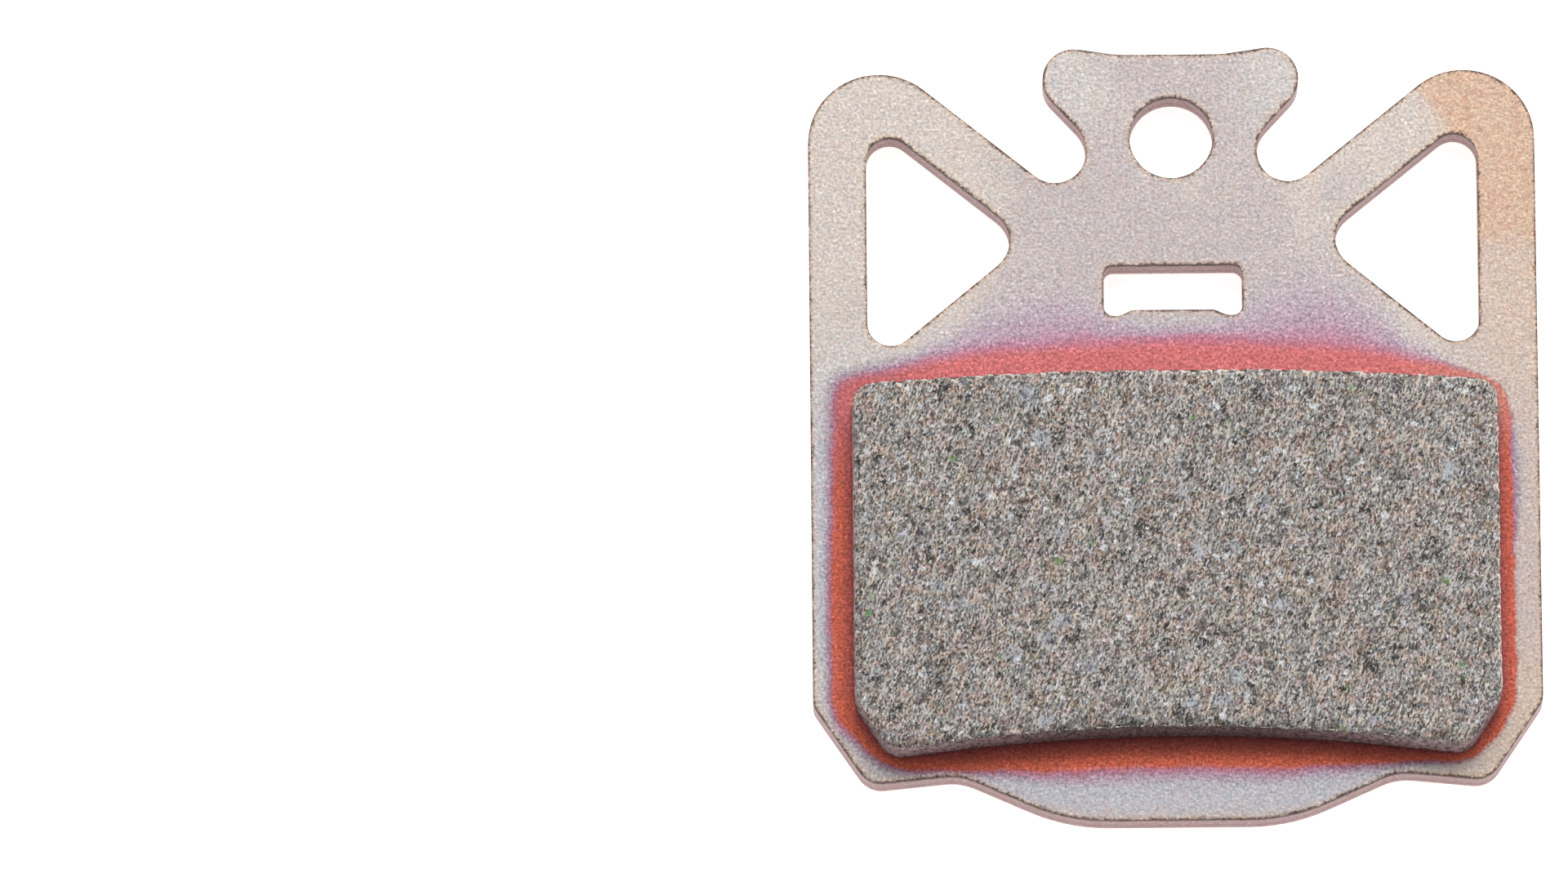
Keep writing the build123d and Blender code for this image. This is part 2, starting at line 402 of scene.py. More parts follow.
def pale_share(tree, aside, up, film):
    """Nodes for how pale the plating is: palest towards the shoulders and the tab."""
    outwards = add(tree, RANGE, {0: aside, 1: 5, 2: 12, 3: -0.1, 4: 0.25})
    upwards = add(tree, RANGE, {0: up, 1: -16, 2: 4, 3: -0.12, 4: 0.06})
    pale = add(tree, MATH, {0: film, 1: outwards}, operation="ADD")
    pale = add(tree, MATH, {0: pale, 1: upwards}, operation="ADD")
    return add(tree, RANGE, {0: pale, 1: 0.4, 2: 0.7}, interpolation_type="SMOOTHSTEP")


def lobe_share(tree, aside, up):
    """Nodes for the palest plating, which lies on the tab's lobes and fades out towards the pin hole."""
    outwards = add(tree, RANGE, {0: aside, 1: 2.5, 2: 5, 3: 0, 4: 0.8})
    upwards = add(tree, RANGE, {0: up, 1: -1.5, 2: 2, 3: 0, 4: outwards})
    on_tab = add(tree, MATH, {0: aside, 1: 9}, operation="LESS_THAN")
    return add(tree, MATH, {0: upwards, 1: on_tab}, operation="MULTIPLY")


def haze_share(tree, aside, up):
    """Nodes for the film over the lower plate, thinner in its lower corners and along the bulge's lip."""
    low = add(tree, RANGE, {0: up, 1: -9, 2: -17, 3: 0, 4: 0.75})
    lowest = add(tree, RANGE, {0: up, 1: -26, 2: -29.5, 3: 0, 4: 0.7})
    corner = add(tree, RANGE, {0: aside, 1: 10, 2: 14})
    corner = add(tree, MATH, {0: corner, 1: lowest}, operation="MULTIPLY")
    low = add(tree, MATH, {0: low, 1: corner}, operation="SUBTRACT")
    lip = add(tree, RANGE, {0: up, 1: -35.0, 2: -35.9, 3: 0, 4: 0.6})
    return add(tree, MATH, {0: low, 1: lip}, operation="SUBTRACT", use_clamp=True)


def gold_share(tree, point, across, up, film, wander):
    """Nodes for the gold: a sharp slanting edge across the right shoulder, and a soft end down the rib."""
    slant = add(tree, VECTOR, {0: point, 1: (0.825, 0.565, 0)}, "Value", operation="DOT_PRODUCT")
    slant = add(tree, MATH, {0: slant, 1: 11.9}, operation="SUBTRACT")
    rib = add(tree, MATH, {0: across, 1: 14.7}, operation="SUBTRACT")
    inside = add(tree, MATH, {0: slant, 1: rib}, operation="MAXIMUM")
    inside = add(tree, MATH, {0: inside, 1: wander}, operation="ADD")
    gold = add(tree, RANGE, {0: inside, 1: -0.3, 2: 0.3}, interpolation_type="SMOOTHSTEP")
    end = add(tree, MATH, {0: film, 1: 6, 2: up}, operation="MULTIPLY_ADD")
    soft = add(tree, RANGE, {0: end, 1: -5.0, 2: -2.5, 3: 0, 4: 0.9}, interpolation_type="SMOOTHSTEP")
    gold = add(tree, MATH, {0: gold, 1: soft}, operation="MULTIPLY")
    warm = add(tree, RANGE, {0: across, 1: 12, 2: 17, 3: 0, 4: 0.45})
    return add(tree, MATH, {0: gold, 1: warm}, operation="MAXIMUM")


def plating(tree, colours, point, wander):
    """Nodes for the plating: silver in the middle, paler towards the shoulders, gold on the right one."""
    across = add(tree, AXES, {0: point})
    up = across.node.outputs["Y"]
    aside = add(tree, MATH, {0: across}, operation="ABSOLUTE")
    film = add(tree, NOISE, {"Vector": point, "Scale": 1 / 5.0, "Detail": 3, "Roughness": 0.55})
    mottle = add(tree, NOISE, {"Vector": point, "Scale": 1 / 0.5, "Detail": 4, "Roughness": 0.75})
    patch = add(tree, RAMP, {0: mottle}, stops=[(0.42, colours.gold), (0.72, colours.umber)])
    colour = colours.silver
    for share, layer in (
        (pale_share(tree, aside, up, film), colours.champagne),
        (lobe_share(tree, aside, up), colours.nickel),
        (haze_share(tree, aside, up), colours.haze),
        (gold_share(tree, point, across, up, film, wander), patch),
    ):
        colour = add(tree, MIX, {FACTOR: share, FIRST: colour, SECOND: layer}, **COLOURS)
    return colour


def front_edges(tree, colours, point, grain, front):
    """Nodes for the front with a warm fringe along its edges and then the burr, frayed by grain and nicks."""
    edge = add(tree, EDGES, {"Distance": 0.35 * MM}, **INWARDS)
    fringe = add(tree, RANGE, {0: edge, 1: 0.95, 2: 0.7, 3: 0, 4: 0.5})
    frayed = add(tree, RANGE, {0: grain, 1: 0.2, 2: 0.8, 3: -0.12, 4: 0.12})
    frayed = add(tree, MATH, {0: frayed, 1: edge}, operation="ADD")
    nicks = add(tree, NOISE, {"Vector": point, "Scale": 1 / 0.8, "Detail": 4, "Roughness": 0.65})
    nicks = add(tree, RANGE, {0: nicks, 1: 0.35, 2: 0.65, 3: 0.1, 4: -0.14})
    frayed = add(tree, MATH, {0: frayed, 1: nicks}, operation="ADD")
    burr = add(tree, RANGE, {0: frayed, 1: 0.68, 2: 0.54, 3: 0, 4: 0.85})
    for share, layer in ((fringe, colours.gold), (burr, colours.burr)):
        front = add(tree, MIX, {FACTOR: share, FIRST: front, SECOND: layer}, **COLOURS)
    return front


def punched_wall(tree, colours, point):
    """Nodes for the cut walls: the burr at the front, then a sheared band, a groove and the torn band."""
    depth = add(tree, AXES, {0: point}, "Z")
    torn = add(tree, NOISE, {"Vector": point, "Scale": 1 / 0.35, "Detail": 3})
    level = add(tree, MATH, {0: torn, 1: 0.35, 2: depth}, operation="MULTIPLY_ADD")
    level = add(tree, RANGE, {0: level, 1: PLATE_LOW.z / MM, 2: PLATE_HIGH.z / MM})
    light, groove, dark = [[c * share for c in colours.shear] for share in (1.12, 0.75, 0.5)]
    return add(tree, RAMP, {0: level}, stops=[
        (0.0, light), (0.35, colours.shear), (0.48, groove), (0.58, colours.shear), (0.88, colours.shear),
        (0.97, dark), (1.0, colours.burr)])


def copper_back(tree, colours, ragged):
    """Nodes for the back: copper, a little mottled, and darker where its edges roll over, partly worn plating
    and partly painted shade of the rolled edges.
    """
    mottle = add(tree, RANGE, {0: ragged, 1: 0.3, 2: 0.7, 3: 0.95, 4: 1.05})
    back = add(tree, VECTOR, {0: colours.copper, "Scale": mottle}, operation="SCALE")
    # Darker along the edges: partly wear, partly painted shade of the roll
    edge_wear_and_shade = add(tree, EDGES, {"Distance": 1.6 * MM}, **INWARDS)
    edge_wear_and_shade = add(tree, RANGE, {0: edge_wear_and_shade, 1: 0.9, 2: 0.5, 3: 0, 4: 0.7})
    return add(tree, MIX, {FACTOR: edge_wear_and_shade, FIRST: back, SECOND: colours.worn_and_shaded}, **COLOURS)


def blasted_sparkle(tree, point, grain, tinted, is_back):
    """Nodes for the brightness of the blasted facets, with a few painted glints: they stand out on the tint,
    and most on the back.
    """
    facet = add(tree, CELLS, {"Vector": point, "Scale": 1 / 0.11}, "Color")
    facet = add(tree, CHANNELS, {0: facet})
    sparkle = add(tree, RANGE, {0: grain, 1: 0.3, 2: 0.7, 3: -0.26, 4: -0.04})
    sparkle = add(tree, MATH, {0: facet, 1: 0.3, 2: sparkle}, operation="MULTIPLY_ADD")
    # Painted highlights: rare facets brightened as if catching the light
    painted_glints = add(tree, RANGE, {0: facet, 1: 0.95, 2: 0.99, 3: 0, 4: 0.22})
    sparkle = add(tree, MATH, {0: sparkle, 1: painted_glints}, operation="ADD")
    contrast = add(tree, RANGE, {0: tinted, 3: 0.74, 4: 1.25})
    rough_back = add(tree, MATH, {0: is_back, 1: 2.3}, operation="MULTIPLY")
    contrast = add(tree, MATH, {0: contrast, 1: rough_back}, operation="MAXIMUM")
    return add(tree, MATH, {0: sparkle, 1: contrast, 2: 1}, operation="MULTIPLY_ADD")


def coppered_steel(colours, outline):
    """Mild steel, blanked, blasted with fine grit and flashed with copper.

    The blasting gives an even sparkle with no direction to it. Sintering has bleached the front to a silvery
    champagne and left bands of heat tint round the lining, and the back is still copper. Punched walls are
    smoother and show a mauve film, with a dark burr along their front edge.
    """
    material, tree, shader = new_material("coppered_blasted_steel")
    point, normal = surface(tree)
    flat = add(tree, VECTOR, {0: point, 1: (1, 1, 0)}, operation="MULTIPLY")
    facing = add(tree, AXES, {0: normal}, "Z")
    is_front = add(tree, MATH, {0: facing, 1: 0.5}, operation="GREATER_THAN")
    is_back = add(tree, MATH, {0: facing, 1: -0.5}, operation="LESS_THAN")

    # Blasted grain of 0.15 mm and finer, and the ragged line that the tints end on
    grain = add(tree, NOISE, {"Vector": point, "Scale": 1 / 0.15, "Detail": 1, "Roughness": 0.5})
    ragged = add(tree, NOISE, {"Vector": point, "Scale": 1 / 1.6, "Detail": 2, "Roughness": 0.5})
    wander = add(tree, RANGE, {0: ragged, 1: 0.2, 2: 0.8, 3: -0.12, 4: 0.12})
    dither = add(tree, RANGE, {0: grain, 1: 0.2, 2: 0.8, 3: -0.04, 4: 0.04})
    fuzzy = add(tree, MATH, {0: wander, 1: dither}, operation="ADD")

    # Front, walls and back, told apart by the way they face
    plate = plating(tree, colours, point, fuzzy)
    heat, tinted = heat_tint(tree, colours, outline, flat, fuzzy)
    front = add(tree, MIX, {FACTOR: tinted, FIRST: plate, SECOND: heat}, **COLOURS)
    front = front_edges(tree, colours, point, grain, front)
    wall = punched_wall(tree, colours, point)
    back = copper_back(tree, colours, ragged)
    colour = add(tree, MIX, {FACTOR: is_front, FIRST: wall, SECOND: front}, **COLOURS)
    colour = add(tree, MIX, {FACTOR: is_back, FIRST: colour, SECOND: back}, **COLOURS)

    # Sparkle of the grain, and slower changes of hue, 0.7 mm
    sparkle = blasted_sparkle(tree, point, grain, tinted, is_back)
    colour = add(tree, VECTOR, {0: colour, "Scale": sparkle}, operation="SCALE")
    speck = add(tree, NOISE, {"Vector": point, "Scale": 1 / 0.7, "Detail": 4, "Roughness": 0.7})
    hue = add(tree, RAMP, {0: speck}, stops=[
        (0.34, linear("#FFEDE4")), (0.5, (1, 1, 1)), (0.66, linear("#EBF2F6"))])
    colour = add(tree, MIX, {FACTOR: 0.45, FIRST: colour, SECOND: hue}, blend_type="MULTIPLY", **COLOURS)
    rough = add(tree, RANGE, {0: grain, 1: 0.3, 2: 0.7, 3: 0.60, 4: 0.42})
    relief = add(tree, BUMP, {"Strength": 0.5, "Distance": 0.02 * MM, "Height": grain})
    tree.links.new(colour, shader.inputs["Base Color"])
    tree.links.new(rough, shader.inputs["Roughness"])
    tree.links.new(relief, shader.inputs["Normal"])
    shader.inputs["Metallic"].default_value = 1
    return material


def ground_grains(tree, point):
    """Nodes for the grains' lightness, and for its parts: single grains and grinding streaks."""
    # Grinding runs 69 degrees from the horizontal and draws the grains out along it
    along = add(tree, "ShaderNodeMapping", {0: point, "Rotation": (0, 0, radians(-69))})
    drawn = add(tree, VECTOR, {0: along, 1: (0.66, 1, 1)}, operation="MULTIPLY")
    stretched = add(tree, VECTOR, {0: along, 1: (1 / 1.5, 1 / 0.16, 1)}, operation="MULTIPLY")

    # Grains of 0.08 to 0.11 mm, streaks of 1.5 by 0.16 mm, and paler and darker patches of 0.5 mm
    grain = add(tree, NOISE, {"Vector": drawn, "Scale": 1 / 0.11, "Detail": 2, "Roughness": 0.6})
    streak = add(tree, NOISE, {"Vector": stretched, "Scale": 1, "Detail": 0})
    cell = add(tree, CELLS, {"Vector": drawn, "Scale": 1 / 0.08}, "Color")
    cell = add(tree, CHANNELS, {0: cell})
    patch = add(tree, NOISE, {"Vector": point, "Scale": 1 / 0.5, "Detail": 3, "Roughness": 0.6})
    lightness = -0.505
    for part, weight in ((grain, 1.0), (streak, 0.22), (cell, 0.7), (patch, 0.1)):
        lightness = add(tree, MATH, {0: part, 1: weight, 2: lightness}, operation="MULTIPLY_ADD")
    return lightness, cell, streak


def frayed_cells(tree, point, fray, size, spread):
    """Nodes for three random values in each cell, with the cells' edges frayed. Sizes are millimetres."""
    frayed = add(tree, VECTOR, {0: fray, 1: (spread, spread, spread), 2: point}, operation="MULTIPLY_ADD")
    cells = add(tree, CELLS, {"Vector": frayed, "Scale": 1 / size}, "Color")
    return add(tree, CHANNELS, {0: cells})


def cloudy(tree, colours, point, flake, face):
    """Nodes for the face under clouds of 1.2 mm and finer, with pockets of dark powder."""
    cloud = add(tree, NOISE, {"Vector": point, "Scale": 1 / 1.2, "Detail": 4, "Roughness": 0.9}, "Color")
    cloud = add(tree, CHANNELS, {0: cloud})
    pockets = add(tree, RANGE, {0: cloud, 1: 0.58, 2: 0.72, 3: 1, 4: 0.8})
    face = add(tree, VECTOR, {0: face, "Scale": pockets}, operation="SCALE")
    local = add(tree, MATH, {0: flake, 1: 0.3, 2: -0.15}, operation="MULTIPLY_ADD")
    local = add(tree, MATH, {0: local, 1: cloud.node.outputs["Green"]}, operation="ADD")
    for value, low, high in (
        (local, colours.copper, colours.slate),
        (cloud.node.outputs["Blue"], colours.mauve, colours.olive),
    ):
        cast = add(tree, RAMP, {0: value}, stops=[(0.36, low), (0.5, (1, 1, 1)), (0.64, high)])
        face = add(tree, MIX, {FACTOR: 0.8, FIRST: face, SECOND: cast}, blend_type="MULTIPLY", **COLOURS)
    return face


def ground_face(tree, colours, point, chip):
    """Nodes for the ground face's colour, and for the lightness of its grains."""
    lightness, cell, streak = ground_grains(tree, point)
    shade = add(tree, MATH, {0: 1, 1: lightness}, operation="SUBTRACT")
    dark_grit, pale_grit = [[c * share for c in colours.grit] for share in (0.4, 1.6)]
    face = add(tree, RAMP, {0: lightness}, stops=[
        (0.0, colours.charcoal), (0.25, dark_grit), (0.5, colours.grit), (0.75, pale_grit),
        (1.0, colours.flake)])
    fray = add(tree, NOISE, {"Vector": point, "Scale": 1 / 0.15, "Detail": 1}, "Color")
    flake = frayed_cells(tree, point, fray, size=0.3, spread=0.25)
    lump = frayed_cells(tree, point, fray, size=0.8, spread=0.7)
    face = cloudy(tree, colours, point, flake, face)

    # Bright points among the grains, and bright flakes
    points = add(tree, RANGE, {0: cell.node.outputs["Green"], 1: 0.90, 2: 0.96, 3: 0, 4: 0.9})
    flakes = add(tree, RANGE, {0: flake, 1: 0.972, 2: 0.985, 3: 0, 4: 1.2})
    bright = add(tree, MATH, {0: flakes, 1: points}, operation="MAXIMUM")
    bright = add(tree, MATH, {0: bright, 1: lightness}, operation="MULTIPLY", use_clamp=True)
    face = add(tree, MIX, {FACTOR: bright, FIRST: face, SECOND: colours.flake}, **COLOURS)

    # Black grains, rare green ones, lumps of iron and of dark powder, lines of bare metal, and torn pits: each
    # has a value, the range over which it sets in, its strength, what breaks it up, and its colour
    for value, start, full, most, breaks, layer in (
        (flake.node.outputs["Blue"], 0.96, 0.975, 1.5, shade, colours.charcoal),
        (flake.node.outputs["Green"], 0.9978, 0.998, 0.6, 1, colours.green),
        (lump, 0.97, 0.98, 0.9, lightness, colours.iron),
        (lump.node.outputs["Green"], 0.97, 0.98, 1.1, shade, colours.charcoal),
        (streak, 0.715, 0.78, 1.4, lightness, colours.scratch),
        (chip, 0.1, 0.9, 0.6, 1, colours.charcoal),
    ):
        share = add(tree, RANGE, {0: value, 1: start, 2: full, 3: 0, 4: most})
        share = add(tree, MATH, {0: share, 1: breaks}, operation="MULTIPLY", use_clamp=True)
        face = add(tree, MIX, {FACTOR: share, FIRST: face, SECOND: layer}, **COLOURS)
    return face, lightness


def pressed_wall(tree, colours, point, depth, crumbs):
    """Nodes for the block's pressed walls, with painted shadow towards the plate and painted light towards
    both ends.
    """
    across = add(tree, AXES, {0: point})
    aside = add(tree, MATH, {0: across}, operation="ABSOLUTE")
    tone = add(tree, RANGE, {0: crumbs, 1: 0.32, 2: 0.68, 3: 0.15, 4: 1.85})
    # Painted shadow at the foot where the wall meets the plate, and painted light towards both ends, as the
    # middle would lie in shade
    painted_foot_shadow = add(tree, RANGE, {0: depth, 1: 0.0, 2: 1.2, 3: 0.75, 4: 1.0})
    painted_end_light = add(tree, RANGE, {0: aside, 1: 4, 2: 13, 3: 1.0, 4: 2.0})
    wall = colours.wall
    for brightness in (tone, painted_foot_shadow, painted_end_light):
        wall = add(tree, VECTOR, {0: wall, "Scale": brightness}, operation="SCALE")
    return wall


def plug_end(tree, colours, rim, crumbs):
    """Nodes for the ends of the plugs, which show in the back of the plate, with painted shade of their
    recesses round their rims.
    """
    tone = add(tree, RANGE, {0: crumbs, 1: 0.32, 2: 0.68, 3: 0.6, 4: 1.4})
    # Painted shade of the recess walls, darkest at the rim
    painted_rim_shade = add(tree, RANGE, {0: rim, 1: 0.2, 2: 1.0, 3: 1.0, 4: 0.18})
    plug = colours.plug
    for brightness in (tone, painted_rim_shade):
        plug = add(tree, VECTOR, {0: plug, "Scale": brightness}, operation="SCALE")
    return plug


def edge_glints(tree, normal, facing, crumbs):
    """Nodes for painted highlights: broken glints along the upper and the right-hand edges, as if they caught
    the light.
    """
    towards = add(tree, VECTOR, {0: normal, 1: (0.7, 0.9, 0)}, "Value", operation="DOT_PRODUCT")
    on_edge = add(tree, RANGE, {0: towards, 1: 0.2, 2: 0.4})
    off_wall = add(tree, RANGE, {0: facing, 1: 0.1, 2: 0.3})
    broken = add(tree, RANGE, {0: crumbs, 1: 0.44, 2: 0.52, 3: 0, 4: 0.8})
    painted_glint = add(tree, MATH, {0: on_edge, 1: off_wall}, operation="MULTIPLY")
    return add(tree, MATH, {0: painted_glint, 1: broken}, operation="MULTIPLY")


def sintered_compound(colours):
    """Copper and iron powder sintered with graphite and grit, ground flat.

    The eye sees salt and pepper at about 0.1 mm, with torn-out dark pits, a few bright flakes, coppery and
    slaty patches, and fine slanting lines from the grinding. The pressed walls are mauve brown.
    """
    material, tree, shader = new_material("sintered_metal_compound")
    point, normal = surface(tree)
    facing = add(tree, AXES, {0: normal}, "Z")
    depth = add(tree, AXES, {0: point}, "Z")
    chip = add(tree, "ShaderNodeAttribute", output="Fac", attribute_name="chip")
    rim = add(tree, "ShaderNodeAttribute", output="Fac", attribute_name="rim")
    upright = add(tree, VECTOR, {0: point, 1: (1, 1, 0.7)}, operation="MULTIPLY")
    crumbs = add(tree, NOISE, {"Vector": upright, "Scale": 1 / 0.2, "Detail": 2, "Roughness": 0.65})

    # Ground face, pressed walls and plugs
    face, lightness = ground_face(tree, colours, point, chip)
    wall = pressed_wall(tree, colours, point, depth, crumbs)
    plug = plug_end(tree, colours, rim, crumbs)
    is_face = add(tree, RANGE, {0: facing, 1: 0.35, 2: 0.75})
    is_plug = add(tree, MATH, {0: depth, 1: PLUG_TOP}, operation="LESS_THAN")
    colour = add(tree, MIX, {FACTOR: is_face, FIRST: wall, SECOND: face}, **COLOURS)
    colour = add(tree, MIX, {FACTOR: is_plug, FIRST: colour, SECOND: plug}, **COLOURS)

    # Painted shade darkens what faces downwards, along the lower edge, and painted highlights glint along the
    # upper and right-hand edges
    upwards = add(tree, AXES, {0: normal}, "Y")
    painted_downward_shade = add(tree, RANGE, {0: upwards, 1: -0.1, 2: -0.4, 3: 1.0, 4: 0.7})
    colour = add(tree, VECTOR, {0: colour, "Scale": painted_downward_shade}, operation="SCALE")
    painted_glint = edge_glints(tree, normal, facing, crumbs)
    colour = add(tree, MIX, {FACTOR: painted_glint, FIRST: colour, SECOND: colours.painted_glint}, **COLOURS)
    rough = add(tree, RANGE, {0: lightness, 1: 0.0, 2: 1.0, 3: 0.75, 4: 0.45})
    relief = add(tree, BUMP, {"Strength": 0.6, "Distance": 0.04 * MM, "Height": lightness})
    tree.links.new(colour, shader.inputs["Base Color"])
    tree.links.new(rough, shader.inputs["Roughness"])
    tree.links.new(relief, shader.inputs["Normal"])
    shader.inputs["Metallic"].default_value = 0.35
    return material


def opal_glass(glow):
    """White glass of a light table: it shines by itself, hardly reflects, and is very slightly uneven."""
    material, tree, shader = new_material("opal_glass")
    place = add(tree, PLACE, output="Object")
    haze = add(tree, NOISE, {"Vector": place, "Scale": 1 / (40 * MM), "Detail": 2})
    glass = add(tree, RAMP, {0: haze}, stops=[(0.3, linear("#F8F8F8")), (0.7, linear("#FCFCFC"))])
    tree.links.new(glass, shader.inputs["Base Color"])
    tree.links.new(glass, shader.inputs["Emission Color"])
    shader.inputs["Emission Strength"].default_value = glow
    shader.inputs["Roughness"].default_value = 0.9
    shader.inputs["Specular IOR Level"].default_value = 0.1
    return material


def even_cells(node, name, cell):
    """Copy of a CAD solid as a new object with small even faces."""
    mesh = node.data.copy()
    shape = bmesh.new()
    shape.from_mesh(mesh)
    bmesh.ops.remove_doubles(shape, verts=shape.verts, dist=0.001 * MM)
    shape.to_mesh(mesh)
    shape.free()
    piece = bpy.data.objects.new(name, mesh)
    bpy.context.scene.collection.objects.link(piece)
    remesh = piece.modifiers.new("even_cells", "REMESH")
    remesh.mode = "VOXEL"
    remesh.voxel_size = cell
    solid = piece.evaluated_get(bpy.context.evaluated_depsgraph_get())
    piece.data = bpy.data.meshes.new_from_object(solid)
    piece.modifiers.clear()
    return piece


def merge_hidden_faces(piece):
    """Swaps the cells of the underside, which lies on the plate, for a few large faces."""
    shape = bmesh.new()
    shape.from_mesh(piece.data)
    hidden = [f for f in shape.faces if f.normal.z < -0.99 and abs(f.calc_center_median().z) < 0.05 * MM]
    bmesh.ops.delete(shape, geom=hidden, context="FACES")
    open_edges = [e for e in shape.edges if e.is_boundary]
    bmesh.ops.triangle_fill(shape, use_beauty=False, use_dissolve=False, edges=open_edges,
                            normal=(0, 0, -1))
    shape.to_mesh(piece.data)
    shape.free()


def plug_middles():
    """Middles of the plugs, read from the lowest points of the lining's solid, in millimetres."""
    lowest = [v.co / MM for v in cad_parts["friction_lining"].data.vertices
              if v.co.z < LINING_LOW.z + 0.01 * MM]
    middles = []
    for right in (-1, 1):
        side = [p for p in lowest if p.x * right > 0]
        halfway = sum(p.y for p in side) / len(side)
        for upper in (-1, 1):
            group = [p for p in side if (p.y - halfway) * upper > 0]
            middles.append(sum(group, Vector()) / len(group))
    return middles


def plug_relief(point, normal, grain, sizes, middles):
    """How far a point of a plug moves, as its end is domed, and how near the plug's rim it is."""
    if normal.z >= -0.7:
        return Vector(), 0
    off = min(hypot(point.x - middle.x, point.y - middle.y) for middle in middles)
    rim = clamp(off / PLUG_RADIUS) ** 4
    return Vector((0, 0, sizes.dome / MM * rim + PLUG_GRIT * grain)), rim


def block_relief(point, normal, grain, sizes, outline):
    """How far a point of the block moves, how near the face's rim it is, and how deep in a pit."""
    crumble = sizes.crumble_width / MM
    inside = -outline_distance(outline, point.x, point.y)
    near_face = clamp((point.z - LINING_HIGH.z / MM + 2 * crumble) / crumble)
    rim = clamp(1 - inside / crumble) * near_face

    # Grit torn out of the face, crumbs lost along all edges, and wider gaps in the lower one
    torn = noise.fractal(point / (sizes.chip_size / MM), 0.9, 2.1, 4)
    crumb = clamp(0.25 + 1.5 * noise.noise(point / CRUMB_SIZE)) * rim
    low_edge = clamp(1 + bottom_distance(outline, point.x, point.y) / (1.5 * crumble))
    gap = clamp((noise.noise(point / GAP_SIZE) - 0.2) / 0.15) * low_edge * near_face
    chip = max(clamp((torn - 0.45) / 0.22), crumb * 0.9, gap)
    crumb = max(crumb, gap)
    if normal.z > 0.5:
        drop = chip * sizes.chip_depth / MM + crumb * sizes.crumble_depth / MM
        return Vector((0, 0, FACE_GRIT * grain - drop)), rim, chip
    return normal * (WALL_GRIT * grain - crumb * sizes.crumble_depth / MM), rim, chip


def roughen(piece, sizes, outline):
    """Gives the lining its grit, pits, crumbled edges and domed plug ends.

    The material reads two values that each point keeps: chip, how deep in a pit it is, and rim, how near an
    edge.
    """
    middles = plug_middles()
    chips = []
    rims = []
    normals = [vertex.normal.copy() for vertex in piece.data.vertices]
    for vertex, normal in zip(piece.data.vertices, normals):
        point = vertex.co / MM
        grain = noise.noise(point * GRIT_PER_MM) + 0.6 * noise.noise(point * 2 * GRIT_PER_MM)
        move, rim, chip = Vector(), 0, 0
        if point.z < PLUG_TOP:
            move, rim = plug_relief(point, normal, grain, sizes, middles)
        elif point.z > BLOCK_FOOT:
            move, rim, chip = block_relief(point, normal, grain, sizes, outline)
        chips.append(chip)
        rims.append(rim)
        vertex.co += move * MM
    for name, values in (("chip", chips), ("rim", rims)):
        piece.data.attributes.new(name, "FLOAT", "POINT").data.foreach_set("value", values)


class PAD_OT_plate(bpy.types.Operator):
    """Finish the backing plate in blasted, coppered and heat-tinted steel"""
    bl_idname = "brake_pad.plate"
    bl_label = "Finish Backing Plate"
    bl_options = {"REGISTER", "UNDO"}

    def execute(self, context):
        pad = context.scene.brake_pad
        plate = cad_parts["backing_plate"]
        plate.data.materials.clear()
        plate.data.materials.append(coppered_steel(pad.plate, outline_points(pad.lining)))
        return {"FINISHED"}


class PAD_OT_lining(bpy.types.Operator):
    """Build the friction lining with its grit, pits, crumbled edges and plugs"""
    bl_idname = "brake_pad.lining"
    bl_label = "Build Friction Lining"
    bl_options = {"REGISTER", "UNDO"}

    def execute(self, context):
        pad = context.scene.brake_pad
        lining = even_cells(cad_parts["friction_lining"], "lining", pad.lining.cell)
        merge_hidden_faces(lining)
        roughen(lining, pad.lining, outline_points(pad.lining))
        lining.data.shade_smooth()
        lining.data.materials.clear()
        lining.data.materials.append(sintered_compound(pad.compound))
        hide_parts("friction_lining")
        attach(lining, "root")
        return {"FINISHED"}


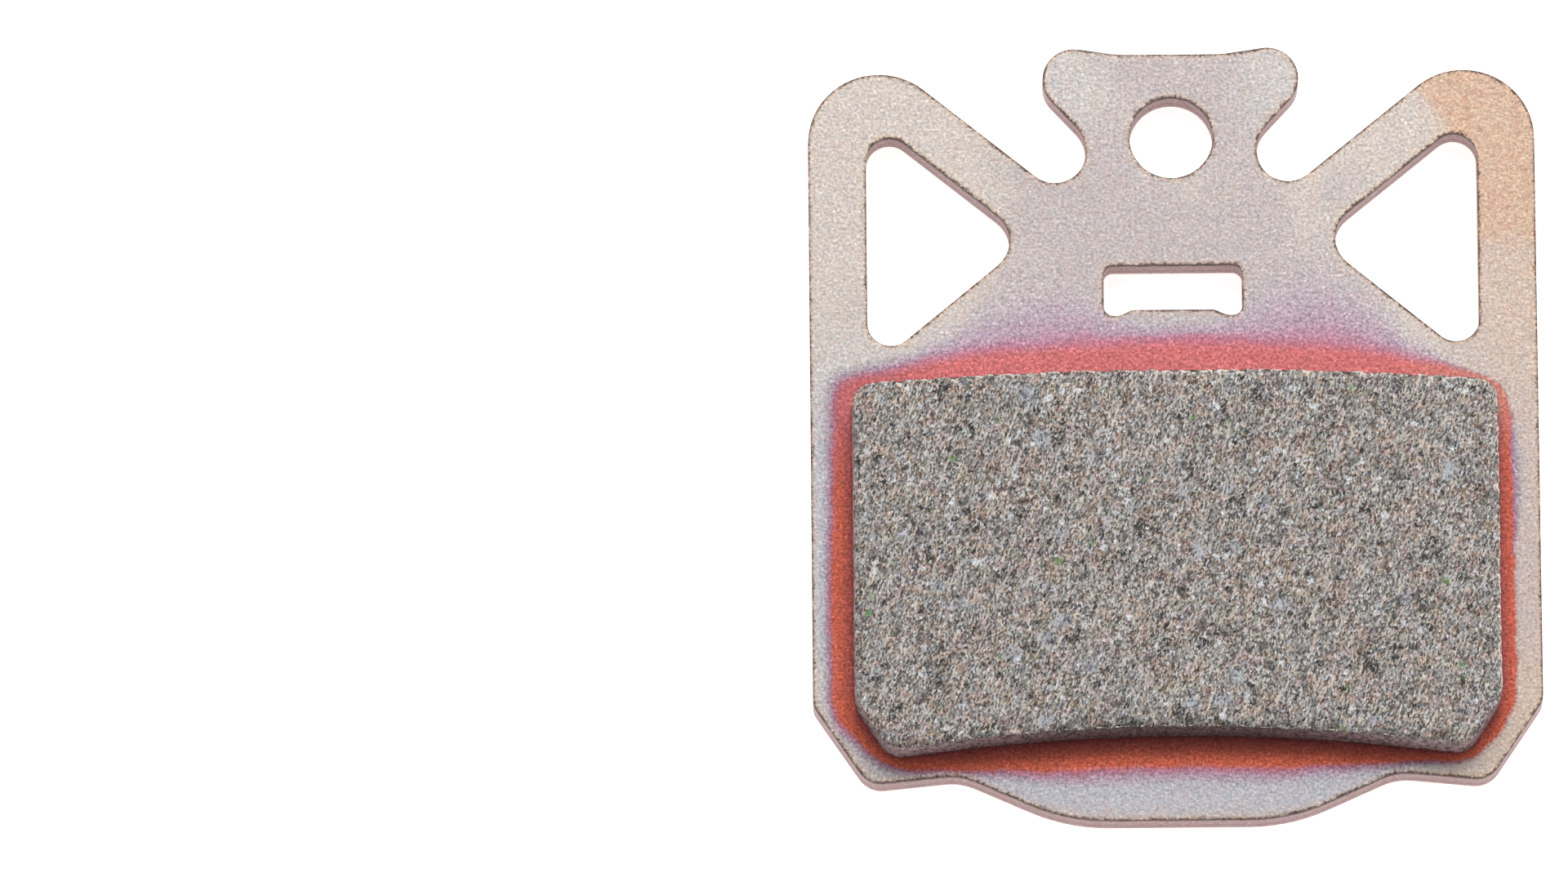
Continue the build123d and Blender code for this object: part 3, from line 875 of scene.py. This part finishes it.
class PAD_OT_stage(bpy.types.Operator):
    """Set up the floor, the soft light and the camera"""
    bl_idname = "brake_pad.stage"
    bl_label = "Set Up Stage"
    bl_options = {"REGISTER", "UNDO"}

    def execute(self, context):
        stage = context.scene.brake_pad.stage
        self.lay_floor(context, stage)
        self.light(context, stage)
        self.aim(context, stage)
        context.scene.view_settings.view_transform = "Standard"
        return {"FINISHED"}

    def lay_floor(self, context, stage):
        """White light table that the pad lies on."""
        shape = bmesh.new()
        bmesh.ops.create_grid(shape, x_segments=1, y_segments=1, size=stage.floor_half)
        bmesh.ops.translate(shape, verts=shape.verts, vec=(0, 0, PLATE_LOW.z - stage.floor_gap))
        mesh = bpy.data.meshes.new("floor")
        shape.to_mesh(mesh)
        shape.free()
        mesh.materials.append(opal_glass(stage.glow))
        floor = bpy.data.objects.new("floor", mesh)
        context.scene.collection.objects.link(floor)

    def light(self, context, stage):
        """Even white surroundings, and one softbox at the upper right."""
        world = bpy.data.worlds.new("studio")
        world.use_nodes = True
        backdrop = world.node_tree.nodes["Background"]
        backdrop.inputs["Color"].default_value = (1, 1, 1, 1)
        backdrop.inputs["Strength"].default_value = stage.sky
        context.scene.world = world
        softbox = bpy.data.lights.new("softbox", "AREA")
        softbox.energy = stage.key
        softbox.size = stage.softbox_size
        lamp = bpy.data.objects.new("softbox", softbox)
        lamp.location = stage.softbox_place
        lamp.rotation_euler = (-Vector(lamp.location)).to_track_quat("-Z", "Y").to_euler()
        context.scene.collection.objects.link(lamp)

    def aim(self, context, stage):
        """Long lens from the foot of the pad, which lies in the right half of the picture."""
        lens = bpy.data.cameras.new("camera")
        lens.lens = lens.sensor_width * stage.distance / stage.view_width
        camera = bpy.data.objects.new("camera", lens)
        right = Vector((cos(stage.twist), -sin(stage.twist), 0))
        ahead = Vector((sin(stage.twist), cos(stage.twist), 0))
        middle = Vector((0, (PLATE_LOW.y + PLATE_HIGH.y) / 2, 0))
        target = middle - right * stage.across - ahead * (stage.above / sin(stage.elevation))
        back = Vector((0, 0, sin(stage.elevation))) - ahead * cos(stage.elevation)
        camera.location = target + back * stage.distance
        camera.rotation_euler = (pi / 2 - stage.elevation, 0, -stage.twist)
        context.scene.collection.objects.link(camera)
        context.scene.camera = camera


class PAD_PT_panel(bpy.types.Panel):
    """Sidebar panel with the pad's operators and settings"""
    bl_idname = "PAD_PT_panel"
    bl_label = "Brake Pad"
    bl_space_type = "VIEW_3D"
    bl_region_type = "UI"
    bl_category = "Brake Pad"

    def draw(self, context):
        pad = context.scene.brake_pad
        for operator in OPERATORS:
            self.layout.operator(operator.bl_idname)
        for group in (pad.lining, pad.compound, pad.plate, pad.stage):
            box = self.layout.box()
            for name in group.__annotations__:
                box.prop(group, name)


OPERATORS = (PAD_OT_plate, PAD_OT_lining, PAD_OT_stage)
CLASSES = (LiningSizes, LiningColours, PlateColours, StageSettings, PadSettings, *OPERATORS, PAD_PT_panel)


def register():
    for cls in CLASSES:
        bpy.utils.register_class(cls)
    bpy.types.Scene.brake_pad = PointerProperty(type=PadSettings)


def unregister():
    del bpy.types.Scene.brake_pad
    for cls in reversed(CLASSES):
        bpy.utils.unregister_class(cls)


def main():
    """Registers the add-on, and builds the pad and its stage."""
    register()
    bpy.ops.brake_pad.plate()
    bpy.ops.brake_pad.lining()
    bpy.ops.brake_pad.stage()


if __name__ == "__main__":
    main()
